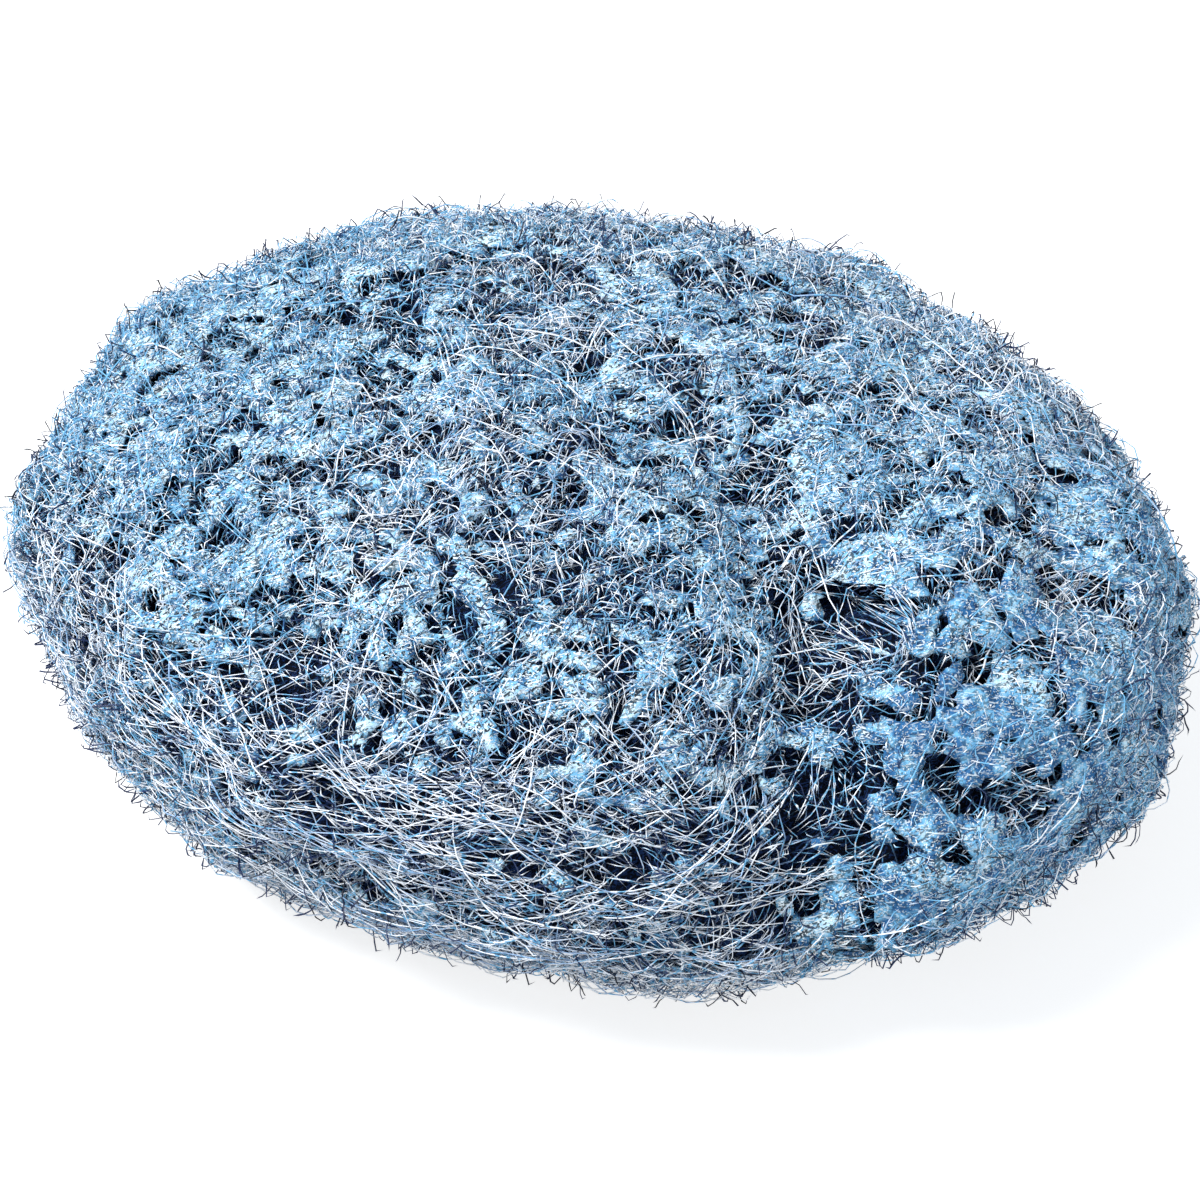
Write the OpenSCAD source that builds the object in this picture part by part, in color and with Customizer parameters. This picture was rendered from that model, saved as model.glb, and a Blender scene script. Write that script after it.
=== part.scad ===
// Soap-filled steel wool pad: one ribbon of steel wool, folded over itself into an
// oval cushion, its free end lapped over the front and its two ends tucked in.
// The wool is one felted piece, so the pad is one solid. It lies on its flat spot,
// with +Z up, its length along X and the middle of the flat spot at the origin.

/* [Pad] */
// Length of the pad, end to end
pad_length = 76; // [60:1:100]
// Width of the pad, front to back
pad_width = 61; // [48:1:80]
// Height of the pad as it lies
pad_height = 26; // [20:1:36]
// Squareness of the outline seen from above, 2 being an ellipse
plan_power = 2; // [2:0.1:3]
// Squareness of the flank, 2 being an ellipse
flank_power = 2.3; // [2:0.1:3]
// How far the rounded underside is pressed flat
press_depth = 3.5; // [1:0.5:6]

/* [Lap] */
// Distance from the middle of the pad to the lapped edge of the outer turn
lap_offset = 14; // [4:1:22]
// How much further out that edge lies where it meets the front outline
lap_lean = 11; // [0:1:12]
// Depth of the groove that the lapped edge leaves
lap_depth = 2.6; // [0:0.2:6]
// Width of that groove, on the side of the lap
lap_width = 6; // [3:0.5:10]
// Width of that groove, on the side of the pad's end
lap_end_width = 3.6; // [2:0.2:8]
// How far the end of the pad stands proud beside the groove
lap_lip = 0.8; // [0:0.1:3]

/* [Plies] */
// Distance between the plies that show round the flank
ply_pitch = 6.5; // [4:0.5:12]
// Depth of the soft grooves between the plies
ply_depth = 0.5; // [0:0.1:2]
// How far those grooves waver up and down
ply_waver = 1.1; // [0:0.1:3]

/* [Tucked ends] */
// Depth of the dimple where each end is tucked in
tuck_depth = 0.8; // [0:0.2:5]
// Radius of that dimple
tuck_radius = 6; // [3:0.5:10]
// Number of pleats gathered round it
pleat_count = 7; // [3:1:12]
// Height of a pleat
pleat_height = 0.4; // [0:0.1:2]

/* [Lumps] */
// Height of the soft lumps all over the wool
lump_height = 0.3; // [0:0.05:1.5]
// Distance from one lump to the next
lump_pitch = 15; // [8:1:30]
// Depth of the open pores all over the wool, where the fibres part
pore_depth = 0.7; // [0:0.1:3]
// Radius of a pore
pore_radius = 2.6; // [1.5:0.1:5]

/* [Hidden] */

wool_blue = [0.49, 0.62, 0.74];

half_length = pad_length / 2;
half_width = pad_width / 2;
half_height = (pad_height + press_depth) / 2;

// The form has this many rings from the middle of each side to the outline.
// Ring r has 6 r points, so that its triangles are all about one size.
ring_count = 28;

// Soft lumps come from three waves that cross, each [x, y and z share, phase].
lump_waves = [
    [0.9, 0.4, 0, 20],
    [0, 0.7, -0.6, 110],
    [-0.5, 0.3, 0.8, 250],
];

// The larger hollows on the upper side, each [share of the half length, share of
// the half width, radius, depth].
hollows = [
    [0.45, -0.30, 3.5, 1.4],
    [0.28, -0.07, 4, 2.0],
    [0.13, -0.10, 3, 1.2],
    [-0.08, 0.10, 3.5, 1.4],
    [0.13, 0.13, 2.5, 1.0],
    [0.07, -0.70, 3.5, 1.2],
    [-0.14, -0.79, 3, 1.2],
    [-0.32, -0.69, 5, 1.4],
    [0.76, 0.20, 3, 1.2],
    [0.82, 0, 3, 1.2],
    [0.66, -0.46, 3.5, 1.2],
];

// The pores follow a golden-angle spiral over the whole form.
pore_count = 150;
golden_angle = 137.508;
pores = [
    for (i = [0 : pore_count - 1])
        let (
            height = 1 - 2 * (i + 0.5) / pore_count,
            turn = i * golden_angle,
            reach = sqrt(1 - height * height)
        )
        [
            half_length * reach * cos(turn),
            half_width * reach * sin(turn),
            half_height * height
        ]
];

// A signed power, which turns a circle's sine and cosine into a squarer curve.
function signed_power(v, e) = sign(v) * pow(abs(v), e);

// A bell of height 1 that has fallen to 1/e at a distance of w.
function bell(d, w) = exp(-d * d / (w * w));

// A smooth step from 0 below lo to 1 above hi.
function smooth_step(v, lo, hi) =
    let (t = max(0, min(1, (v - lo) / (hi - lo)))) t * t * (3 - 2 * t);

// The point of the plain cushion at a plan angle and a latitude.
function cushion_point(angle, latitude) =
    let (
        outline = pow(
            pow(abs(cos(angle)) / half_length, plan_power)
            + pow(abs(sin(angle)) / half_width, plan_power),
            -1 / plan_power
        ),
        reach = outline * signed_power(cos(latitude), 2 / flank_power)
    )
    [
        reach * cos(angle),
        reach * sin(angle),
        half_height * signed_power(sin(latitude), 2 / flank_power)
    ];

// The way out of the cushion at a point, of length 1.
function way_out(p) =
    let (
        n = [
            p.x / (half_length * half_length),
            p.y / (half_width * half_width),
            p.z / (half_height * half_height)
        ]
    )
    n / norm(n);

function lump_wave(p, w) = sin(360 / lump_pitch * (w.x * p.x + w.y * p.y + w.z * p.z) + w[3]);

function lumps(p) =
    let (
        a = lump_wave(p, lump_waves[0]),
        b = lump_wave(p, lump_waves[1]),
        c = lump_wave(p, lump_waves[2])
    )
    lump_height * (a * b + b * c + c * a);

// How much a point belongs to a tucked end: 1 at the end itself and 0 on the long flanks.
function endness(out) = smooth_step(abs(out.x), 0.5, 0.95);

// The plies' grooves run level round the flank, and fade into the tucked ends.
function plies(p, out) =
    let (
        level = p.z + ply_waver * sin(2 * atan2(p.y, p.x) + 35),
        flank = 1 - smooth_step(abs(out.z), 0.45, 0.8)
    )
    -ply_depth * flank * (1 - endness(out)) * (0.5 + 0.5 * cos(360 * level / ply_pitch));

// The lapped edge: a groove across the front that shallows towards the back and down
// the flank, with the end of the pad proud beside it.
function lap(p, out) =
    let (
        across = p.x - (lap_offset - lap_lean * p.y / half_width),
        front = smooth_step(-p.y / half_width, -0.2, 0.4),
        upper = smooth_step(out.z, -0.4, 0.6),
        groove = bell(across, across > 0 ? lap_end_width : lap_width),
        lip = bell(across - 2 * lap_end_width, lap_end_width * 1.5)
    )
    front * upper * (lap_lip * lip - lap_depth * groove);

// A tucked end: a dimple on the pad's long axis, with pleats gathered round it.
function tuck(p, out) =
    let (
        d = norm([p.y, p.z]),
        pleats = bell(d - 1.5 * tuck_radius, tuck_radius) * cos(pleat_count * atan2(p.z, p.y))
    )
    endness(out) * (pleat_height * pleats - tuck_depth * bell(d, tuck_radius));

// The larger hollows, seen from above, which fade out before the flank turns under.
function hollow(p, h) =
    h[3] * bell(norm([p.x - h.x * half_length, p.y - h.y * half_width]), h[2]);

function upper_hollows(p, out) =
    -smooth_step(out.z, 0, 0.35) * max([for (h = hollows) hollow(p, h)]);

// The pores between the fibres, shallower round the outline, where the wool is tight.
function open_pores(p, out) =
    -pore_depth
    * (0.3 + 0.7 * smooth_step(abs(out.z), 0.1, 0.6))
    * max([for (c = pores) bell(norm(p - c), pore_radius)]);

// How far a point of the plain cushion moves out, all features together.
function relief(p, out) =
    lumps(p) + plies(p, out) + lap(p, out) + tuck(p, out) + upper_hollows(p, out) + open_pores(p, out);

// One point of a ring, on the upper side (side 1) or the underside (side -1).
function ring_point(side, ring, i) =
    let (
        angle = ring == 0 ? 0 : 60 * i / ring,
        p = cushion_point(angle, side * 90 * (1 - ring / ring_count)),
        out = way_out(p)
    )
    p + out * relief(p, out);

function ring_size(ring) = ring == 0 ? 1 : 6 * ring;

upper_points = [
    for (ring = [0 : ring_count], i = [0 : ring_size(ring) - 1]) ring_point(1, ring, i)
];
under_points = [
    for (ring = [0 : ring_count - 1], i = [0 : ring_size(ring) - 1]) ring_point(-1, ring, i)
];
form = concat(upper_points, under_points);

// The relief moves the outline a little, so the form is brought back to the named size.
low = [for (k = [0 : 2]) min([for (p = form) p[k]])];
high = [for (k = [0 : 2]) max([for (p = form) p[k]])];
form_at_size = [
    for (p = form)
        [
            (p.x - (low.x + high.x) / 2) * pad_length / (high.x - low.x),
            (p.y - (low.y + high.y) / 2) * pad_width / (high.y - low.y),
            p.z - high.z + pad_height
        ]
];

// The number of a ring's point in the list. Both sides share the outermost ring.
function at(side, ring, i) =
    let (number = ring == 0 ? 0 : 1 + 3 * ring * (ring - 1) + i % (6 * ring))
    side > 0 || ring == ring_count ? number : len(upper_points) + number;

// The triangles between a ring and the next one out, a sixth of the way round at a time.
function ring_faces(side, ring) = [
    for (sixth = [0 : 5], j = [0 : ring])
        let (
            inner = at(side, ring, sixth * ring + j),
            inner_next = at(side, ring, sixth * ring + j + 1),
            outer = at(side, ring + 1, sixth * (ring + 1) + j),
            outer_next = at(side, ring + 1, sixth * (ring + 1) + j + 1)
        )
        each [
            side > 0 ? [inner, outer_next, outer] : [inner, outer, outer_next],
            if (j < ring)
                side > 0 ? [inner, inner_next, outer_next] : [inner, outer_next, inner_next]
        ]
];

module wool_form() {
    polyhedron(
        points = form_at_size,
        faces = [for (side = [1, -1], ring = [0 : ring_count - 1]) each ring_faces(side, ring)],
        convexity = 6
    );
}

// Everything under the ground, which the pad's own weight has pressed flat.
module ground() {
    margin = 10;
    translate([-half_length - margin, -half_width - margin, -pad_height])
        cube([pad_length + 2 * margin, pad_width + 2 * margin, pad_height]);
}

module wool_pad() {
    color(wool_blue)
        difference() {
            wool_form();
            ground();
        }
}

wool_pad();
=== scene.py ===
"""A soap-filled steel wool pad that lies on a pale floor.

The pad's form comes from the frame's own solid. A core of packed wool lies inside it, coloured
near-black as painted shade; webs of dried soap lie over the core, and thousands of steel fibres
run over and through them.
Shapes are worked out in millimetres, and become metres where a mesh is made.
"""

import math

import bpy
import numpy as np
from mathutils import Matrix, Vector
from mathutils.bvhtree import BVHTree


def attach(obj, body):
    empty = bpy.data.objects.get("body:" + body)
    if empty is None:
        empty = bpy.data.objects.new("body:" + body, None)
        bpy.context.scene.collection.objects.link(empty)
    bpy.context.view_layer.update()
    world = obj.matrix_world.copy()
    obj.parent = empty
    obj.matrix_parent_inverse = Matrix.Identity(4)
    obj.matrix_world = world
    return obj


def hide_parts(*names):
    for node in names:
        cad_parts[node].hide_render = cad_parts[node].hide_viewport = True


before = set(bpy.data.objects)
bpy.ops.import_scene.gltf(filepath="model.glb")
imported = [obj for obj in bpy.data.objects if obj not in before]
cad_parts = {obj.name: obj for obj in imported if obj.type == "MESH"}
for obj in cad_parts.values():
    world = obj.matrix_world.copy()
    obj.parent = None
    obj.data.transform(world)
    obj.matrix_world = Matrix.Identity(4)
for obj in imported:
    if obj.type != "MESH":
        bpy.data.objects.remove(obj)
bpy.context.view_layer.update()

MM = 0.001
FLOOR_CLEARANCE = 0.09  # mm between the middle of the lowest fibre and the floor

# Half the pad's size, in millimetres.
HALF_LENGTH, HALF_WIDTH, HALF_HEIGHT = 38.0, 30.5, 13.0

# The lapped edge of the wool, as the solid has it, in millimetres: how far along it crosses
# the pad's middle, and how much farther along it is at the front.
LAP_OFFSET, LAP_LEAN = 14, 11

# Hollows in the upper side, where the wool is open: x, y, z and reach in millimetres.
HOLLOWS = [
    (10, 0, 23, 1.8), (5, 2, 25, 1.4), (-3, 4, 25, 1.4), (16, -7, 21, 1.9), (28, 5, 20, 1.5),
    (22, -6, 23, 1.3), (25, -4, 23, 1.6), (29, -1, 20, 1.2), (29, -6, 21, 1.3),
    (30, -15, 17, 2.0), (32, -12, 17, 1.2), (27, -17, 18, 1.5), (21, -14, 20, 1.2),
    (12, -15, 23, 1.0), (11, -19, 22, 1.3), (3, -21, 20, 1.8), (8, -21, 21, 1.4),
    (-4, -22, 21, 1.5), (20, -20, 17, 1.8), (23, -21, 15, 1.8), (19, -24, 14, 2.4),
    (8, -26, 15, 2.2), (-6, -24, 16, 2.0), (24, 2, 22, 1.5), (20, 3, 24, 1.3),
    (26, -10, 21, 1.5), (20, -1, 24, 1.2),
]

# How deep each kind of pit in the wool goes, in millimetres.
SMALL_PIT, LARGE_PIT, OPEN_PIT = 0.9, 1.0, 2.2

# The soap is a web wherever its body is over this.
SOAP_CUT = 0.448

# The middle of the front brow, where most of the soap has gone, in millimetres.
WORN_MIDDLE = np.array([3, -23, 21])


# ---------------------------------------------------------------- small sums


def normalised(v):
    """Vectors made one long."""
    return v / np.maximum(np.linalg.norm(v, axis=-1, keepdims=True), 1e-9)


def dot(a, b):
    """The dot product of each pair of vectors."""
    return (a * b).sum(-1, keepdims=True)


def square_to(ways):
    """A direction square to each way, and level unless the way is nearly upright."""
    upright = np.abs(ways[..., 2:]) > 0.9
    return normalised(np.cross(ways, np.where(upright, [1.0, 0, 0], [0, 0, 1.0])))


def ramp(v, low, high):
    """A smooth step from 0 below low to 1 above high."""
    t = np.clip((v - low) / (high - low), 0, 1)
    return t * t * (3 - 2 * t)


def cloud(points, pitch, seed):
    """Smooth noise from 0 to 1, with a pitch in millimetres."""
    size = 32  # cells along each side of the lattice, after which it repeats
    lattice = np.random.default_rng(seed).random((size, size, size))
    place = points / pitch
    cell = np.floor(place).astype(int)
    share = place - cell
    share = share * share * (3 - 2 * share)
    total = 0
    for corner in np.ndindex(2, 2, 2):
        weight = np.prod(np.where(corner, share, 1 - share), axis=-1)
        i, j, k = np.moveaxis((cell + corner) % size, -1, 0)
        total = total + weight * lattice[i, j, k]
    return total


def clouds(points, *layers):
    """Clouds laid over each other, each given by its share, pitch and seed."""
    return sum(share * cloud(points, pitch, seed) for share, pitch, seed in layers)


# ---------------------------------------------------------------- the pad's form


class Skin:
    """The surface of the pad, as its distance from the pad's middle in every direction."""

    ROWS, COLUMNS = 240, 480
    MIDDLE = np.array([0.0, 0.0, 11.5])
    DIP_REACH, DIP_TRIES = 6.0, 24  # mm around a point that its dip is told by, and how often
    FACING_STEP = 0.03  # to each side of a direction, to tell which way the surface faces

    def __init__(self, solid):
        mesh = solid.data
        mesh.calc_loop_triangles()
        self.points = np.array([v.co for v in mesh.vertices]) / MM
        self.triangles = np.array([t.vertices for t in mesh.loop_triangles])
        tree = BVHTree.FromPolygons(self.points.tolist(), self.triangles.tolist())
        latitude = np.linspace(-np.pi / 2, np.pi / 2, self.ROWS + 1)[:, None]
        turn = np.linspace(0, 2 * np.pi, self.COLUMNS, endpoint=False)[None, :]
        ways = np.stack(
            [
                np.cos(latitude) * np.cos(turn),
                np.cos(latitude) * np.sin(turn),
                np.sin(latitude) + 0 * turn,
            ],
            axis=-1,
        )
        middle = Vector(self.MIDDLE)
        hits = [tree.ray_cast(middle, Vector(way))[3] for way in ways.reshape(-1, 3)]
        self.distance = np.array(hits).reshape(ways.shape[:2])
        self.dips = self._dips(ways)

    def _dips(self, ways):
        """How far the surface lies under its own surroundings."""
        rng = np.random.default_rng(5)
        offsets = rng.normal(size=(self.DIP_TRIES, 3)) * self.DIP_REACH / math.sqrt(3)
        around = sum(
            self.read(self.distance, normalised(ways * self.distance[..., None] + offset))
            for offset in offsets
        ) / self.DIP_TRIES
        return around - self.distance - np.median(around - self.distance)

    def read(self, table, way):
        """What a table of rows and columns says in these directions, between its cells too."""
        row = (np.arcsin(np.clip(way[..., 2], -1, 1)) / np.pi + 0.5) * self.ROWS
        column = np.arctan2(way[..., 1], way[..., 0]) / (2 * np.pi) % 1 * self.COLUMNS
        i = np.minimum(row.astype(int), self.ROWS - 1)
        j = column.astype(int) % self.COLUMNS
        next_j = (j + 1) % self.COLUMNS
        up, along = row - i, column - np.floor(column)
        lower = (1 - along) * table[i, j] + along * table[i, next_j]
        upper = (1 - along) * table[i + 1, j] + along * table[i + 1, next_j]
        return (1 - up) * lower + up * upper

    def reach(self, way):
        """How far the surface is from the middle in these directions."""
        return self.read(self.distance, way)[..., None]

    def at(self, way):
        """The points of the surface in these directions from the middle."""
        return self.MIDDLE + way * self.reach(way)

    def facing(self, way):
        """The way out of the surface in these directions."""
        side = square_to(way)
        other = np.cross(side, way)
        here = self.at(way)
        a = self.at(normalised(way + self.FACING_STEP * side)) - here
        b = self.at(normalised(way + self.FACING_STEP * other)) - here
        out = normalised(np.cross(a, b))
        return out * np.sign(dot(out, way))

    def ways_to(self, points):
        """The directions of these points from the middle."""
        return normalised(points - self.MIDDLE)

    def scatter(self, rng, count, weigh):
        """Points spread over the surface, as thickly as weigh says."""
        corners = self.points[self.triangles]
        cross = np.cross(corners[:, 1] - corners[:, 0], corners[:, 2] - corners[:, 0])
        area = np.linalg.norm(cross, axis=-1)
        chance = area * weigh(corners.mean(1), normalised(cross))
        chosen = corners[rng.choice(len(area), count, p=chance / chance.sum())]
        share = rng.random((count, 2, 1))
        share = np.where(share.sum(1, keepdims=True) > 1, 1 - share, share)
        along = chosen[:, 1:] - chosen[:, :1]
        return chosen[:, 0] + (share * along).sum(1)


skin = Skin(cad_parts["wool_pad"])


def lap_distance(points):
    """How far a point lies beyond the lapped edge, towards the pad's +X end."""
    return points[..., 0] - (LAP_OFFSET - LAP_LEAN * points[..., 1] / HALF_WIDTH)


def at_front(points):
    """1 on the front of the pad, where the edge laps over, and 0 at its back."""
    return ramp(-points[..., 1] / HALF_WIDTH, -0.1, 0.45)


def hollowness(points):
    """1 in the middle of a hollow, and 0 away from them all."""
    total = 0
    for *middle, reach in HOLLOWS:
        middle = skin.at(skin.ways_to(np.array(middle)))
        apart = np.linalg.norm(points - middle, axis=-1) / reach
        total = total + np.exp(-(apart**2))
    return np.minimum(total, 1)


def crease(points):
    """1 in the crease beside the lapped edge, which widens down the front, and 0 away from it."""
    reach = 1.6 + 1.8 * ramp(-points[..., 1], 12, 24)
    return np.exp(-(((lap_distance(points) + 0.3 * reach) / reach) ** 2)) * at_front(points)


def low_front(points):
    """1 low on the front, where the fibres lie bare and level, and 0 on the rest."""
    before_lap = ramp(-lap_distance(points), -3, 4)
    return at_front(points) * before_lap * ramp(-points[..., 2], -22, -15)


def soaped_end(points):
    """1 at the pad's +X end, past the lapped edge, where soap dried in broad patches."""
    lapped = ramp(lap_distance(points), -2, 5) * at_front(points)
    return np.minimum(lapped + ramp(points[..., 0], 18, 34), 1)


def worn(points):
    """1 on the front brow, where most of the soap has gone, and 0 far from it."""
    return 1 - ramp(np.linalg.norm(points - WORN_MIDDLE, axis=-1), 7, 24)


def pit_depth(points):
    """How deep the open pits between the fibres are, in millimetres."""
    dips = skin.read(skin.dips, skin.ways_to(points))
    small = ramp(cloud(points, 1.3, 21), 0.58, 0.78)
    large = ramp(clouds(points, (0.6, 2.4, 22), (0.4, 1.2, 23)) + 0.16 * dips, 0.62, 0.82)
    patches = cloud(points, 2.0, 24)
    creased = 0.5 * crease(points) * ramp(patches, 0.35, 0.6)
    hollowed = hollowness(points) * ramp(patches, 0.1, 0.4)
    return SMALL_PIT * small + LARGE_PIT * large + OPEN_PIT * np.maximum(creased, hollowed)


def soapiness(points):
    """How much soap has dried on the wool, from 0 to 1."""
    patches = clouds(points, (0.6, 9, 31), (0.4, 3.5, 32))
    ends = 0.15 * soaped_end(points) + 0.3 * ramp(-points[..., 0], 5, 25)
    most = ramp(patches, 0.2, 0.8) * 0.7 + ends
    return np.clip(most - 0.4 * low_front(points), 0, 1)


def soap_body(points):
    """How solid the soap is: a web where it is over SOAP_CUT, and open wool elsewhere."""
    web = clouds(points, (0.2, 2.0, 51), (0.5, 1.0, 52), (0.3, 0.75, 53))
    broad = clouds(points, (0.6, 3.2, 54), (0.4, 1.4, 56))
    web = web + 0.4 * soaped_end(points) * (broad - web)
    gone = 0.07 * pit_depth(points) + 0.12 * low_front(points) + 0.05 * worn(points)
    return web + 0.08 * soapiness(points) - gone


# ---------------------------------------------------------------- shader sums


class Wire:
    """A socket's value, on which sums are written as Python expressions."""

    def __init__(self, board, socket):
        self.board, self.socket = board, socket

    def sum(self, operation, *values):
        return self.board.node("ShaderNodeMath", {"operation": operation}, dict(enumerate(values)))

    def __add__(self, other):
        return self.sum("ADD", self, other)

    def __radd__(self, other):
        return self.sum("ADD", other, self)

    def __sub__(self, other):
        return self.sum("SUBTRACT", self, other)

    def __rsub__(self, other):
        return self.sum("SUBTRACT", other, self)

    def __mul__(self, other):
        return self.sum("MULTIPLY", self, other)

    def __rmul__(self, other):
        return self.sum("MULTIPLY", other, self)


class Board:
    """The nodes of one material or world."""

    NOISE_ROUGHNESS = 0.55

    def __init__(self, owner):
        owner.use_nodes = True
        self.owner, self.tree = owner, owner.node_tree
        self.tree.nodes.clear()

    def node(self, kind, settings=None, sockets=None, out=0):
        """Adds a node: its settings first, then what its sockets hold or are linked to."""
        made = self.tree.nodes.new(kind)
        for name, value in (settings or {}).items():
            setattr(made, name, value)
        for name, value in (sockets or {}).items():
            if isinstance(value, Wire):
                self.tree.links.new(value.socket, made.inputs[name])
            else:
                made.inputs[name].default_value = value
        return Wire(self, made.outputs[out])

    def place(self):
        """Where a point is on its object, in metres."""
        return self.node("ShaderNodeTexCoord", out="Object")

    def noise_at(self, where, detail):
        """Noise from 0 to 1 with a pitch of 1, in the units that the places are in."""
        sockets = {
            "Vector": where,
            "Scale": 1.0,
            "Detail": detail,
            "Roughness": self.NOISE_ROUGHNESS,
        }
        return self.node("ShaderNodeTexNoise", None, sockets)

    def noise(self, pitch_mm, detail):
        """Noise from 0 to 1 with a pitch in millimetres."""
        scaling = {0: self.place(), "Scale": 1 / (pitch_mm * MM)}
        where = self.node("ShaderNodeVectorMath", {"operation": "SCALE"}, scaling)
        return self.noise_at(where, detail)

    def dashes(self, length_mm, width_mm, turns, low, high):
        """Short fibres that lie every way: 1 on a fibre and 0 between them."""
        most = None
        for turn in turns:
            stretch = {
                "Vector": self.place(),
                "Rotation": turn,
                "Scale": (length_mm * MM, width_mm * MM, width_mm * MM),
            }
            where = self.node("ShaderNodeMapping", {"vector_type": "TEXTURE"}, stretch)
            layer = self.noise_at(where, detail=0)
            most = layer if most is None else most.sum("MAXIMUM", most, layer)
        return self.step(most, low, high)

    def step(self, value, low, high):
        """A smooth step from 0 at low to 1 at high."""
        settings = {"interpolation_type": "SMOOTHSTEP"}
        sockets = {"Value": value, "From Min": low, "From Max": high}
        return self.node("ShaderNodeMapRange", settings, sockets)

    def mix(self, share, first, second):
        """The first colour where share is 0, and the second where it is 1."""
        sockets = {0: share, 6: first, 7: second}
        return self.node("ShaderNodeMix", {"data_type": "RGBA"}, sockets, out=2)

    def value(self, name):
        """A number that the mesh holds at each of its points."""
        return self.node("ShaderNodeAttribute", {"attribute_name": name}, out="Fac")

    def own_number(self):
        """A number from 0 to 1 that each fibre has to itself."""
        return self.node("ShaderNodeNewGeometry", out="Random Per Island")

    def seen(self):
        """1 for what the camera sees, and 0 for the light that falls on other things."""
        return self.node("ShaderNodeLightPath", out="Is Camera Ray")

    def bump(self, height, distance_mm):
        """The way out of a surface that stands up by this distance where height is 1."""
        return self.node("ShaderNodeBump", None, {"Height": height, "Distance": distance_mm * MM})

    def finish(self, shader, target="ShaderNodeOutputMaterial"):
        """Ends the nodes in a shader, and returns the material or world."""
        end = self.tree.nodes.new(target)
        self.tree.links.new(shader.socket, end.inputs["Surface"])
        return self.owner

    def surface(self, sockets):
        """Ends a material in the general surface shader, with these sockets."""
        return self.finish(self.node("ShaderNodeBsdfPrincipled", None, sockets))


def paint(red, green, blue):
    """A colour as written from 0 to 255, in the linear light that a shader works in."""
    linear = [
        c / 12.92 if c <= 0.04045 else ((c + 0.055) / 1.055) ** 2.4
        for c in (red / 255, green / 255, blue / 255)
    ]
    return (*linear, 1.0)


# Painted shade: near-black navy for the shade deep among the fibres, on the core and in the holes
# of the soap film.
PAINTED_SHADE_NAVY = paint(4, 8, 21)
# Painted shade: the dim strands over the core.
SHADED_BURIED_WOOL = paint(24, 46, 86)
# Painted shade: wool as it looks in shade, the darkest tint of the caked strands.
SHADED_WOOL = paint(28, 52, 98)
# Painted shade: soap as it looks in shade, at the film's edges, in random patches of the film and
# in the caked strands.
SHADED_SOAP = paint(36, 94, 144)
SOAP_BLUE = paint(110, 173, 212)
PALE_SOAP = paint(196, 228, 244)
WHITE_SOAP = paint(236, 247, 253)
BRIGHT_STEEL = paint(242, 246, 252)
GREY_STEEL = paint(136, 168, 206)
# Painted shade: steel as it looks in shade, on the deep fibres and the rim's loose ends.
SHADE_STEEL = paint(26, 44, 84)
# Painted shade: near-black steel for the rim's loose ends, shaded beneath.
DEEP_SHADE_STEEL = paint(14, 20, 34)

# Turns about X, Y and Z that lay the short fibres of a mat every way.
PALE_TURNS = [(0.3, 0.2, 0.4), (1.9, 0.7, 1.5), (0.9, 1.1, 2.6), (2.6, 0.4, 3.5)]
DARK_TURNS = [(0.6, 0.1, 1.0), (1.4, 0.9, 2.1), (2.3, 0.3, 4.2)]


def shaded_packed_wool():
    """The core: packed wool coloured in painted shade, near-black navy with dim strands over it.
    """
    board = Board(bpy.data.materials.new("shaded_packed_wool"))
    fibres = board.dashes(1.6, 0.16, DARK_TURNS, low=0.56, high=0.7)
    return board.surface({
        "Base Color": board.mix(0.9 * fibres, PAINTED_SHADE_NAVY, SHADED_BURIED_WOOL),
        "Roughness": 0.85,
        "Specular IOR Level": 0.1,
        "Normal": board.bump(fibres, 0.1),
    })


def dried_soap():
    """Blue soap dried on matted fibres: a film in soft tones, streaked by the mat in it, with
    painted shade: near-black navy dashes for small holes, and deeper blue at the edge of each
    patch.
    """
    board = Board(bpy.data.materials.new("dried_soap"))
    soap = board.value("soap")
    # Painted shade: the film turns to shaded soap where the soap value is low, at the edge of each
    # patch where it dips to a hole; noise also varies it at random.
    tone_and_rim_shade = board.noise(1.0, detail=2) - 0.22 * (0.9 - soap)
    film = board.mix(board.step(tone_and_rim_shade, 0.3, 0.46), SHADED_SOAP, SOAP_BLUE)
    film = board.mix(board.step(tone_and_rim_shade, 0.46, 0.66), film, PALE_SOAP)
    mat = 0.4 + 0.6 * soap
    # Painted shade: near-black navy dashes that stand in for small holes in the film.
    painted_hole_shade = mat * board.dashes(0.8, 0.19, DARK_TURNS, low=0.59, high=0.68)
    fibres = mat * board.dashes(1.3, 0.12, PALE_TURNS, low=0.66, high=0.73)
    colour = board.mix(0.95 * painted_hole_shade, film, PAINTED_SHADE_NAVY)
    colour = board.mix(0.9 * fibres, colour, WHITE_SOAP)
    return board.surface({
        "Base Color": colour,
        "Roughness": 0.7,
        "Specular IOR Level": 0.3,
        "Normal": board.bump(fibres + tone_and_rim_shade, 0.08),
    })


def soap_strand():
    """A fibre caked in soap: matt, each its own blue, with painted shade in its darkest tints, and
    paler where the soap is thick.
    """
    board = Board(bpy.data.materials.new("soap_strand"))
    crumbs = board.noise(0.45, detail=1)
    tint = 0.75 * board.own_number() + 1.6 * (crumbs - 0.5)
    # Painted shade: noise scatters shaded wool and shaded soap along the strand.
    colour = board.mix(board.step(tint, -0.1, 0.25), SHADED_WOOL, SHADED_SOAP)
    colour = board.mix(board.step(tint, 0.1, 0.4), colour, SOAP_BLUE)
    colour = board.mix(board.step(tint, 0.4, 0.8), colour, WHITE_SOAP)
    return board.surface({"Base Color": colour, "Roughness": 0.8})


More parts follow.
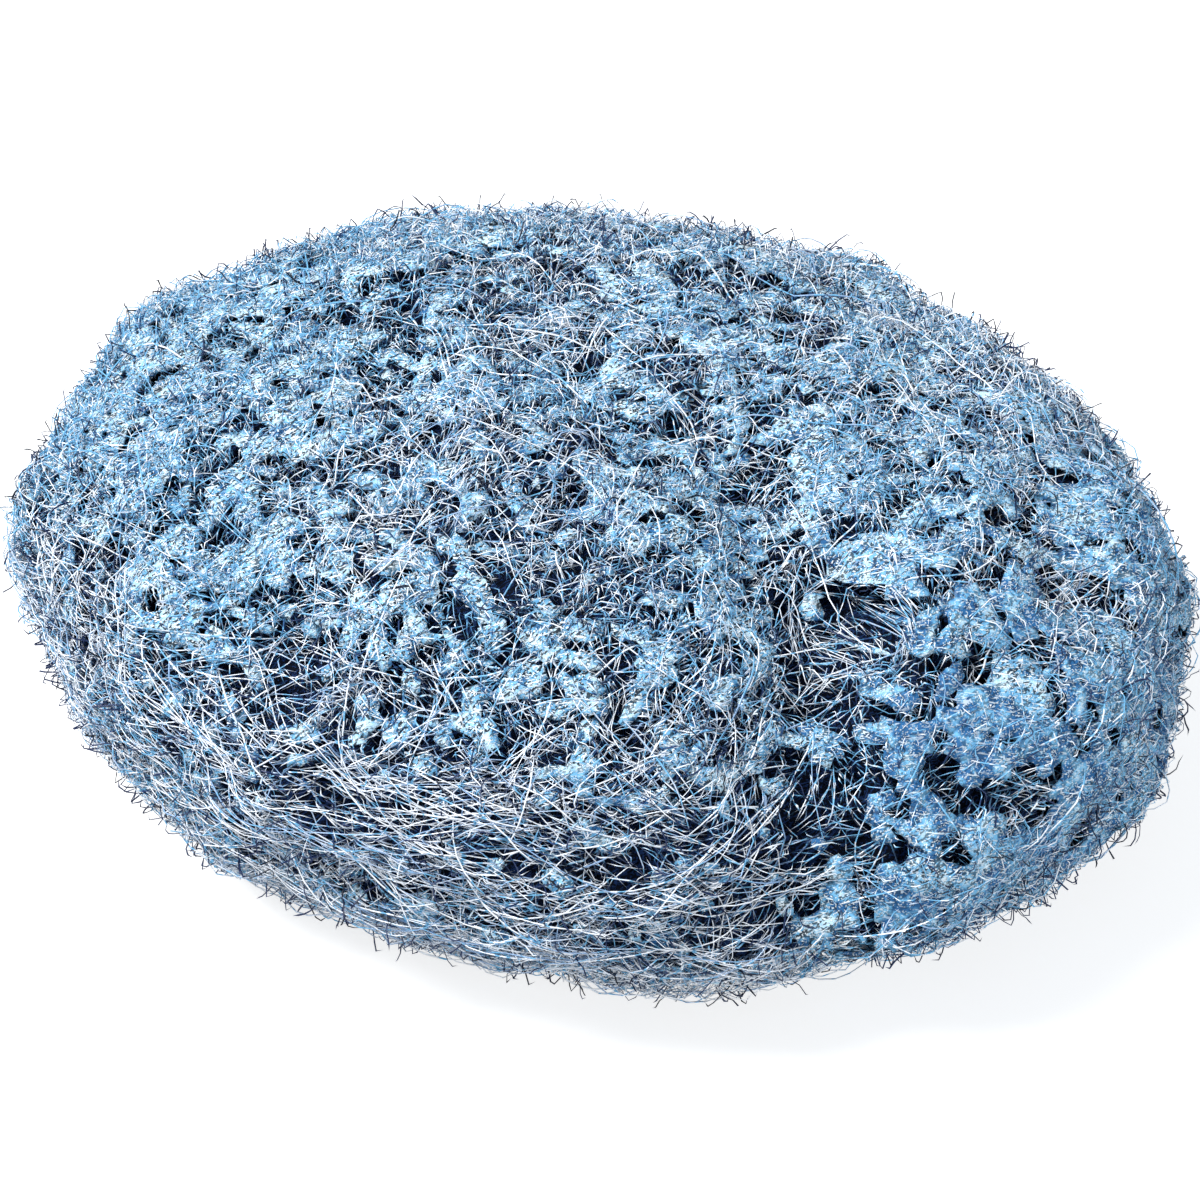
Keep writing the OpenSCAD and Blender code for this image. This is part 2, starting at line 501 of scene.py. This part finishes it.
def steel_fibre(name, bright, darker_steel, coat):
    """Shaved steel, each fibre with its own tint between two colours, and dusted with soap
    in the places where there is more of it than coat."""
    board = Board(bpy.data.materials.new(name))
    own = board.own_number()
    dust = board.noise(0.5, detail=0) + 0.25 * board.value("soap") - 0.1 * own
    coated = board.step(dust, coat, coat + 0.1)
    steel = board.mix(board.step(own, 0.0, 0.5), darker_steel, bright)
    return board.surface({
        "Base Color": board.mix(coated, steel, SOAP_BLUE),
        "Metallic": 0.1 * (1 - coated),
        "Roughness": 0.34 + 0.4 * coated,
    })


# ---------------------------------------------------------------- meshes


def make_piece(name, points, triangles, flat_map, material, soap):
    """A piece that rides on the pad: its mesh in millimetres, its flat map and its soap."""
    mesh = bpy.data.meshes.new(name)
    mesh.from_pydata((points * MM).tolist(), [], triangles.tolist())
    layer = mesh.uv_layers.new(name="OFBake")
    layer.uv.foreach_set("vector", flat_map.reshape(-1).astype(np.float32))
    soaped = mesh.attributes.new("soap", "FLOAT", "POINT")
    soaped.data.foreach_set("value", soap.astype(np.float32))
    mesh.shade_smooth()
    mesh.materials.append(material)
    made = bpy.data.objects.new(name, mesh)
    bpy.context.collection.objects.link(made)
    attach(made, "root")
    return made


class RingCushion:
    """Even triangles over a cushion: rings from the middle of each side to the outline."""

    SIZE = np.array([HALF_LENGTH, HALF_WIDTH, HALF_HEIGHT])
    SQUARENESS = 0.87  # the power that fills an ellipsoid, which has 1, out to a cushion
    MAP_RADIUS = 0.24  # of one half on the flat map, just less than half its quarter's side

    def __init__(self, rings):
        self.rings = rings
        ring = np.concatenate([[0]] + [np.full(6 * r, r) for r in range(1, rings + 1)])
        step = np.concatenate([[0]] + [np.arange(6 * r) for r in range(1, rings + 1)])
        angle = np.radians(60 * step / np.maximum(ring, 1))
        self.disc = np.stack([np.cos(angle), np.sin(angle)], -1) * (ring / rings)[:, None]
        latitude = np.pi / 2 * (1 - ring / rings)
        across, up = np.cos(latitude) ** self.SQUARENESS, np.sin(latitude) ** self.SQUARENESS
        upper = np.stack([across * np.cos(angle), across * np.sin(angle), up], -1) * self.SIZE
        inner = ring < rings
        self.ways = normalised(np.concatenate([upper, upper[inner] * [1, 1, -1]]))
        self.disc = np.concatenate([self.disc, self.disc[inner]])
        self.upper_count = len(upper)
        halves = [self._triangles(1), self._triangles(-1)]
        self.triangles = np.concatenate(halves)
        self.under = np.repeat([0, 1], [len(half) for half in halves])

    def _at(self, side, ring, i):
        """The number of a point by its place in a ring, above for side 1 and below for -1."""
        number = np.where(ring == 0, 0, 1 + 3 * ring * (ring - 1) + i % max(6 * ring, 1))
        shared = side > 0 or ring == self.rings
        return number if shared else number + self.upper_count

    def _triangles(self, side):
        """The triangles of one side, which face out."""
        made = []
        for ring in range(self.rings):
            sixth, j = np.indices((6, ring + 1)).reshape(2, -1)
            inner = self._at(side, ring, sixth * ring + j)
            inner_next = self._at(side, ring, sixth * ring + j + 1)
            outer = self._at(side, ring + 1, sixth * (ring + 1) + j)
            outer_next = self._at(side, ring + 1, sixth * (ring + 1) + j + 1)
            made.append(np.stack([inner, outer, outer_next], -1))
            within = j < ring
            made.append(np.stack([inner, outer_next, inner_next], -1)[within])
        made = np.concatenate(made)
        return made if side > 0 else made[:, ::-1]

    def on_map(self, numbers, under, layer=0):
        """Where points lie on the flat map. Each half and each layer has its own quarter."""
        quarter = np.stack([under * 0.5 + 0.25, np.full(under.shape, layer * 0.5 + 0.25)], -1)
        return self.disc[numbers] * self.MAP_RADIUS + quarter


CORE_DEPTH = 1.5  # mm under the skin where there is no pit, give or take its lumps


def make_core():
    """Packed wool, well under the skin, with a pit below each open place, coloured near-black as
    painted shade.
    """
    cushion = RingCushion(56)
    out = skin.facing(cushion.ways)
    surface = skin.at(cushion.ways)
    lumps = 0.8 * (cloud(surface, 1.1, 41) - 0.5)
    depth = CORE_DEPTH + pit_depth(surface) + lumps
    points = surface - out * depth[:, None]
    return make_piece(
        "wool_core",
        points,
        cushion.triangles,
        cushion.on_map(cushion.triangles, cushion.under[:, None]),
        shaded_packed_wool(),
        soapiness(surface),
    )


def soap_slide(points, out):
    """How far points at the edge of a web slide over the skin, so that the edge is smooth."""
    step, furthest = 0.1, 0.35  # mm
    side = square_to(out)
    slope = 0
    for way in (side, np.cross(out, side)):
        rise = soap_body(points + step * way) - soap_body(points - step * way)
        slope = slope + way * rise[:, None] / (2 * step)
    over = (soap_body(points) - SOAP_CUT)[:, None]
    slide = -slope * over / np.maximum(dot(slope, slope), 1e-6)
    length = np.linalg.norm(slide, axis=-1, keepdims=True)
    return slide * np.minimum(1, furthest / np.maximum(length, 1e-9))


def open_edges(triangles, count):
    """The edges that only one triangle has: both their ends, the corner across from each,
    and its triangle's number. count is how many points there are."""
    edges = triangles[:, [[0, 1], [1, 2], [2, 0]]].reshape(-1, 2)
    across = triangles[:, [2, 0, 1]].reshape(-1)
    there = edges[:, 0] * count + edges[:, 1]
    back = edges[:, 1] * count + edges[:, 0]
    alone = np.flatnonzero(~np.isin(there, back))
    return *edges[alone].T, across[alone], alone // 3


def make_soap():
    """Webs of dried soap: a crumbly sheet with holes, thicker in the middle of each patch."""
    cushion = RingCushion(110)
    out = skin.facing(cushion.ways)
    surface = skin.at(cushion.ways)
    count = len(surface)
    at_end = soaped_end(surface)
    body = soap_body(surface) - 0.1 * ramp(-out[:, 2], 0.4, 0.9)
    kept = (body[cushion.triangles] > SOAP_CUT).all(1)
    triangles, under = cushion.triangles[kept], cushion.under[kept]

    fullness = np.clip((body - SOAP_CUT) / 0.1, 0, 1)
    rumples = 0.3 * (cloud(surface, 1.3, 55) - 0.5)
    middle_depth = 0.85 - 0.2 * fullness - 0.2 * at_end + rumples
    thickness = 0.03 + 0.06 * fullness
    blotches = cloud(surface, 3.0, 57) - 0.5
    # Low at the edge of each patch, where the film is painted in shade as it dips to a hole; at
    # the +X end, blotches vary it at random.
    paleness_and_rim_shade = np.clip(fullness + at_end * (blotches - 0.5 * fullness), 0, 1)

    a, b, across, beside = open_edges(triangles, count)
    edge = np.unique(a)
    slid = surface.copy()
    slid[edge] += soap_slide(surface[edge], out[edge])
    upper = slid - out * (middle_depth - thickness)[:, None]
    lower = slid - out * (middle_depth + thickness)[:, None]
    every = np.concatenate([
        triangles,
        triangles[:, ::-1] + count,
        np.stack([b, a, a + count], -1),
        np.stack([b, a + count, b + count], -1),
    ])

    at_a, at_b, at_c = [cushion.on_map(v, under[beside]) for v in (a, b, across)]
    past_a, past_b = at_a + 0.3 * (at_a - at_c), at_b + 0.3 * (at_b - at_c)
    flat_map = np.concatenate([
        cushion.on_map(triangles, under[:, None]),
        cushion.on_map(triangles[:, ::-1], under[:, None], layer=1),
        np.stack([at_b, at_a, past_a], 1),
        np.stack([at_b, past_a, past_b], 1),
    ])

    used, renumbered = np.unique(every, return_inverse=True)
    points = np.concatenate([upper, lower])[used]
    points[:, 2] = np.maximum(points[:, 2], FLOOR_CLEARANCE)
    return make_piece(
        "soap_webs",
        points,
        renumbered.reshape(-1, 3),
        flat_map,
        dried_soap(),
        np.tile(paleness_and_rim_shade, 2)[used],
    )


# ---------------------------------------------------------------- fibres


TUFT_SPREAD = 0.3  # mm from one fibre of a tuft to the next, where they start
TUFT_FRAY = 0.25  # how far the fibres of a tuft part from each other in their direction
LEVEL_SHARE = 0.7  # how much a fibre on the flank turns to run level
LAP_SHARE = 0.6  # how much a fibre beside the lapped edge turns to run along it
FLOW_PULL = 1.6  # how strong those two are against a fibre's own direction

FLATNESS = 0.62  # a fibre's thickness as a share of its width
TIP_WIDTH = 0.45  # a fibre's width close to a tip, as a share of its whole width
WIDENING = 5  # how fast it widens from there, in whole widths over its own length
TWIST = 2.5  # how far a fibre rolls from end to end, in radians
MAP_MARGIN = 0.06  # around each fibre in its cell of the flat map


def wander(rng, starts, lengths, count, bend, per_tuft):
    """Paths of count points over the skin, as directions and ways out. They run level round
    the flank, along the lapped edge beside it, and any way elsewhere. Each start has a tuft
    of paths that keep together."""
    tufted = per_tuft > 1
    starts = np.repeat(starts, per_tuft, axis=0)
    starts = starts + rng.normal(0, TUFT_SPREAD, starts.shape) * tufted
    total = len(starts)
    step = np.repeat(lengths, per_tuft)[:, None] / (count - 1)
    way = skin.ways_to(starts)
    out = skin.facing(way)
    heading = np.repeat(rng.normal(size=(total // per_tuft, 3)), per_tuft, axis=0)
    heading = heading + rng.normal(0, TUFT_FRAY, heading.shape) * tufted
    heading = normalised(heading - dot(heading, out) * out)

    round_flank = normalised(np.cross([0, 0, 1.0], out))
    on_flank = 1 - ramp(np.abs(out[:, 2:]), 0.5, 0.93)
    along_lap = normalised(np.array([-LAP_LEAN / HALF_WIDTH, 1.0, 0]) + 0 * out)
    near_lap = np.exp(-(((lap_distance(starts) + 2) / 5) ** 2)) * at_front(starts)
    for flow, share in (
        (round_flank, LEVEL_SHARE * on_flank),
        (along_lap, LAP_SHARE * near_lap[:, None]),
    ):
        sense = np.where(dot(heading, flow) < 0, -1, 1)
        heading = normalised(heading * (1 - share) + sense * flow * share * FLOW_PULL)

    turn = rng.normal(0, bend, (total, 1))
    ways, outs = [], []
    for _ in range(count):
        out = skin.facing(way)
        heading = normalised(heading - dot(heading, out) * out)
        ways.append(way)
        outs.append(out)
        angle = turn * step
        heading = heading * np.cos(angle) + np.cross(out, heading) * np.sin(angle)
        way = normalised(way * skin.reach(way) + heading * step)
        turn = turn + rng.normal(0, bend * 0.5, turn.shape)
    return np.stack(ways, 1), np.stack(outs, 1)


def strip_points(paths, outs, widths, rng):
    """The points of a flattened three-sided strip along each path: its rings, then its tips."""
    total, count = paths.shape[:2]
    along = normalised(np.gradient(paths, axis=1))
    side = normalised(np.cross(along, outs))
    up = np.cross(side, along)
    share = np.linspace(0, 1, count)[None, :, None]
    taper = np.minimum(1, TIP_WIDTH + WIDENING * np.minimum(share, 1 - share))
    half = widths[:, None, None] / 2 * taper
    roll = rng.uniform(0, 2 * np.pi, (total, 1, 1))
    roll = roll + rng.normal(0, TWIST, (total, 1, 1)) * share
    corner = np.radians([90, 210, 330])[None, None, :]
    wide, thin = half * np.cos(corner), FLATNESS * half * np.sin(corner)
    x = wide * np.cos(roll) - thin * np.sin(roll)
    y = wide * np.sin(roll) + thin * np.cos(roll)
    rings = paths[:, :, None] + x[..., None] * side[:, :, None] + y[..., None] * up[:, :, None]
    bodies = rings[:, 1:-1].reshape(total, -1, 3)
    return np.concatenate([bodies, paths[:, :1], paths[:, -1:]], axis=1)


def strip_pattern(count):
    """The triangles of one strip whose path has count points, and where their corners lie on
    a flat map from 0 to 1."""
    spans = count - 3
    k, j = np.indices((spans, 3)).reshape(2, -1)
    here, beside = 3 * k + j, 3 * k + (j + 1) % 3
    tip = np.arange(3)
    first, last = np.full(3, 1), np.full(3, count - 2)
    head, tail = np.full(3, 3 * spans + 3), np.full(3, 3 * spans + 4)
    faces = [
        (here, beside, beside + 3),
        (here, beside + 3, here + 3),
        (head, (tip + 1) % 3, tip),
        (tail, 3 * spans + tip, 3 * spans + (tip + 1) % 3),
    ]
    places = [
        ((j, k + 1), (j + 1, k + 1), (j + 1, k + 2)),
        ((j, k + 1), (j + 1, k + 2), (j, k + 2)),
        ((tip + 0.5, first - 1), (tip + 1, first), (tip, first)),
        ((tip + 0.5, last + 1), (tip, last), (tip + 1, last)),
    ]
    triangles = np.concatenate([np.stack(corners, -1) for corners in faces])
    flat_map = np.concatenate([np.stack(corners).transpose(2, 0, 1) for corners in places])
    return triangles, flat_map / [3.0, count - 1.0]


def lay_fibres(name, paths, outs, widths, rng, material):
    """One closed strip with pointed ends along each path, each in its own cell of the map."""
    total, count = paths.shape[:2]
    points = strip_points(paths, outs, widths, rng)
    one, one_map = strip_pattern(count)
    number = np.arange(total)
    triangles = number[:, None, None] * points.shape[1] + one

    columns = max(1, min(math.ceil(math.sqrt(total * count / 3)), total))
    rows = math.ceil(total / columns)
    cell = np.stack([number % columns, number // columns], -1)[:, None, None, :]
    flat_map = (cell + MAP_MARGIN + (1 - 2 * MAP_MARGIN) * one_map) / [columns, rows]
    points = points.reshape(-1, 3)
    return make_piece(
        name, points, triangles.reshape(-1, 3), flat_map, material, soapiness(points)
    )


def hidden_below(out):
    """Fewer fibres where the pad lies on its flat spot."""
    return np.where(out[:, 2] < -0.6, 0.35, 1.0)


def all_over(points, out):
    """Everywhere, though fewer in the crease, in the hollows and low on the front."""
    opened = (1 - 0.5 * crease(points)) * (1 - 0.3 * hollowness(points))
    return hidden_below(out) * opened * (1 - 0.3 * low_front(points))


def at_rim(points, out):
    """On the sides more than on the top, where loose ends would cover the wool."""
    sides = 1 - 0.75 * ramp(out[:, 2], 0.6, 0.9)
    bare = 1 - 0.6 * soaped_end(points) * ramp(out[:, 2], -0.1, 0.3)
    return all_over(points, out) * sides * bare


def open_wool(points, out):
    """Between the webs of soap more than on them."""
    soaped = ramp(soap_body(points), SOAP_CUT - 0.03, SOAP_CUT + 0.05)
    return all_over(points, out) * (1 - 0.6 * soaped)


def low_flank(points, out):
    """Low on the front only, and fewer in the crease."""
    return (low_front(points) + 0.2) * (1 - 0.7 * crease(points)) * ramp(low_front(points), 0, 0.1)


def over_holes(points, out):
    """Over the holes between the webs of soap, and hardly any on the webs."""
    soaped = ramp(soap_body(points), SOAP_CUT - 0.04, SOAP_CUT + 0.06)
    return all_over(points, out) * (1.1 - soaped)


def on_soap(points, out):
    """On the webs of soap, though fewer at the end, where they are calm and broad."""
    soaped = 0.12 + ramp(soap_body(points), SOAP_CUT - 0.06, SOAP_CUT + 0.02)
    return hidden_below(out) * soaped * (1 - 0.5 * soaped_end(points))


def make_wool(name, seed, weigh, tufts, per_tuft, count, length, width, depth, bend, material,
              bridging=0.5, lift=0.0, swing=0.45):
    """Fibres that rise to the top of the wool and dive back under it, by as much as swing.
    Each one's path has count points, and its length, width and depth are drawn from between
    two values in millimetres. It follows the pits down by a share of up to bridging, and its
    free end stands out of the wool by up to lift."""
    rng = np.random.default_rng(seed)
    starts = skin.scatter(rng, tufts, weigh)
    lengths = rng.uniform(*length, tufts)
    ways, outs = wander(rng, starts, lengths, count, bend, per_tuft)
    total = tufts * per_tuft
    share = np.linspace(0, 1, count)[None, :]
    waves = rng.uniform(0.7, 1.9, (total, 1))
    wave = np.sin(2 * np.pi * (waves * share + rng.random((total, 1))))
    dive = 0.6 * np.abs(2 * share - 1) ** 4
    down = rng.uniform(*depth, (total, 1)) + swing * wave + dive
    surface = skin.at(ways)
    follow = rng.uniform(0, bridging, (total, 1))
    down = down + follow * pit_depth(surface) - lift * rng.random((total, 1)) * share**1.5
    paths = surface - outs * down[..., None]
    paths[..., 2] = np.maximum(paths[..., 2], FLOOR_CLEARANCE)
    widths = rng.uniform(*width, total)
    return lay_fibres(name, paths, outs, widths, rng, material)


# ---------------------------------------------------------------- the pad


core = make_core()
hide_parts("wool_pad")
make_soap()

bright = steel_fibre("bright_steel", BRIGHT_STEEL, GREY_STEEL, coat=0.55)
# Painted shade: the deep fibres run from blue-grey to shaded steel, for the shade deep in the
# wool.
darker_steel = steel_fibre("painted_deep_shade_steel", GREY_STEEL, SHADE_STEEL, coat=0.6)
# Painted shade: the loose loops and free ends at the rim are near-black steel, for their shaded
# undersides seen against the pale floor.
dark = steel_fibre("painted_rim_shade_steel", SHADE_STEEL, DEEP_SHADE_STEEL, coat=0.9)
caked = soap_strand()

make_wool(
    "caked_strands", seed=71, weigh=on_soap, tufts=3000, per_tuft=3, count=4,
    length=(1.0, 2.6), width=(0.09, 0.16), depth=(0.1, 0.8), bend=0.7,
    material=caked, bridging=0.9, swing=0.2,
)
make_wool(
    "caked_shavings", seed=72, weigh=on_soap, tufts=3500, per_tuft=3, count=3,
    length=(0.5, 1.3), width=(0.09, 0.16), depth=(0.1, 0.75), bend=0.7,
    material=caked, bridging=0.9, swing=0.2,
)
make_wool(
    "bright_shavings", seed=73, weigh=all_over, tufts=3800, per_tuft=3, count=3,
    length=(0.5, 1.4), width=(0.07, 0.12), depth=(-0.1, 0.7), bend=0.7,
    material=bright, bridging=0.9, swing=0.2,
)
make_wool(
    "short_wool_1", seed=74, weigh=all_over, tufts=3900, per_tuft=3, count=4,
    length=(1.2, 3.0), width=(0.07, 0.11), depth=(0.0, 0.8), bend=0.3,
    material=bright, bridging=0.8, swing=0.25,
)
make_wool(
    "short_wool_2", seed=75, weigh=over_holes, tufts=2600, per_tuft=3, count=4,
    length=(1.4, 3.8), width=(0.06, 0.1), depth=(0.1, 1.3), bend=0.42,
    material=bright, bridging=0.8, swing=0.25,
)
# Deep fibres, coloured in painted shade.
make_wool(
    "deep_wool", seed=61, weigh=open_wool, tufts=520, per_tuft=3, count=6,
    length=(4, 9), width=(0.11, 0.17), depth=(0.9, 1.8), bend=0.12,
    material=darker_steel, bridging=1.0,
)
make_wool(
    "felted_wool", seed=63, weigh=all_over, tufts=900, per_tuft=3, count=8,
    length=(4, 8), width=(0.07, 0.12), depth=(-0.1, 0.7), bend=0.15,
    material=bright,
)
make_wool(
    "flank_strands", seed=68, weigh=low_flank, tufts=580, per_tuft=2, count=10,
    length=(5, 11), width=(0.07, 0.12), depth=(-0.1, 0.5), bend=0.07,
    material=bright, bridging=0.3, swing=0.2,
)
make_wool(
    "long_strands", seed=65, weigh=all_over, tufts=240, per_tuft=1, count=12,
    length=(6, 14), width=(0.11, 0.15), depth=(-0.2, 0.15), bend=0.06,
    material=bright, bridging=0.3,
)
# The loose loops and free ends take the near-black steel painted as shade.
make_wool(
    "loose_loops", seed=66, weigh=at_rim, tufts=700, per_tuft=1, count=8,
    length=(1.0, 2.8), width=(0.08, 0.12), depth=(-0.25, 0.1), bend=0.5,
    material=dark, bridging=0.0,
)
make_wool(
    "free_ends", seed=67, weigh=at_rim, tufts=2600, per_tuft=1, count=6,
    length=(0.8, 2.3), width=(0.09, 0.14), depth=(0.2, 0.6), bend=0.6,
    material=dark, bridging=0.0, lift=1.9, swing=0.15,
)


# ---------------------------------------------------------------- floor, light, camera


WHITE = (1, 1, 1, 1)
FLOOR_GREY = (0.5, 0.5, 0.5, 1)
SHADOW_FLOOR = (0.74, 0.74, 0.74, 1)
COOL_SKY = (0.72, 0.86, 1.0, 1)

FLOOR_HALF = 3.0  # metres from its middle to each side
FLOOR_GLOW = 0.95  # how much light the floor gives to the camera alone
SKY_LIGHT = 0.38  # how much light the sky gives to everything but the camera, which sees 1
LAMPS = [  # name, place and size in metres, power in watts
    ("key", (-0.36, -0.12, 0.58), 0.28, 7.5),
    ("fill", (0.50, -0.36, 0.30), 0.3, 2.4),
]


def make_floor():
    """A plain floor that takes the pad's shadow, and is white to the camera farther off."""
    mesh = bpy.data.meshes.new("floor")
    corners = [(-1, -1), (1, -1), (1, 1), (-1, 1)]
    points = [(FLOOR_HALF * x, FLOOR_HALF * y, 0) for x, y in corners]
    mesh.from_pydata(points, [], [(0, 1, 2, 3)])
    floor = bpy.data.objects.new("floor", mesh)
    bpy.context.collection.objects.link(floor)
    board = Board(bpy.data.materials.new("pale_floor"))
    plain = board.node("ShaderNodeBsdfDiffuse", None, {"Color": FLOOR_GREY})
    place = board.node("ShaderNodeNewGeometry", out="Position")
    away = board.node("ShaderNodeVectorMath", {"operation": "LENGTH"}, {0: place}, out="Value")
    glow = board.mix(board.step(away, 0.12, 0.5), SHADOW_FLOOR, WHITE)
    lift = {"Color": glow, "Strength": FLOOR_GLOW * board.seen()}
    both = {0: plain, 1: board.node("ShaderNodeEmission", None, lift)}
    mesh.materials.append(board.finish(board.node("ShaderNodeAddShader", None, both)))


def make_light():
    """A cool sky, which is white to the camera, and two soft lamps."""
    world = bpy.data.worlds.new("studio")
    bpy.context.scene.world = world
    board = Board(world)
    seen = board.seen()
    sky = {
        "Color": board.mix(seen, COOL_SKY, WHITE),
        "Strength": SKY_LIGHT + (1 - SKY_LIGHT) * seen,
    }
    board.finish(board.node("ShaderNodeBackground", None, sky), "ShaderNodeOutputWorld")
    for name, place, size, power in LAMPS:
        lamp = bpy.data.lights.new(name, "AREA")
        lamp.energy, lamp.size = power, size
        made = bpy.data.objects.new(name, lamp)
        made.location = place
        made.rotation_euler = Vector(place).to_track_quat("Z", "Y").to_euler()
        bpy.context.collection.objects.link(made)


def make_camera(azimuth, elevation, distance, lens, aim):
    """Looks at the pad from its front, turned to the right and up by two angles in degrees,
    and at a distance in metres. aim is how far the view's middle lies to the right of the
    pad's middle and above it, in millimetres."""
    camera = bpy.data.objects.new("camera", bpy.data.cameras.new("camera"))
    camera.data.lens = lens
    camera.data.clip_start = 0.01
    a, e = math.radians(azimuth), math.radians(elevation)
    back = Vector((math.sin(a) * math.cos(e), -math.cos(a) * math.cos(e), math.sin(e)))
    right = Vector((math.cos(a), math.sin(a), 0))
    up = back.cross(right)
    target = Vector((0, 0, HALF_HEIGHT * MM)) + (right * aim[0] + up * aim[1]) * MM
    camera.location = target + back * distance
    camera.rotation_euler = back.to_track_quat("Z", "Y").to_euler()
    bpy.context.collection.objects.link(camera)
    bpy.context.scene.camera = camera


make_floor()
make_light()
make_camera(azimuth=19.5, elevation=44.2, distance=0.212, lens=100, aim=(-0.2, -3.2))
bpy.context.scene.view_settings.view_transform = "Standard"
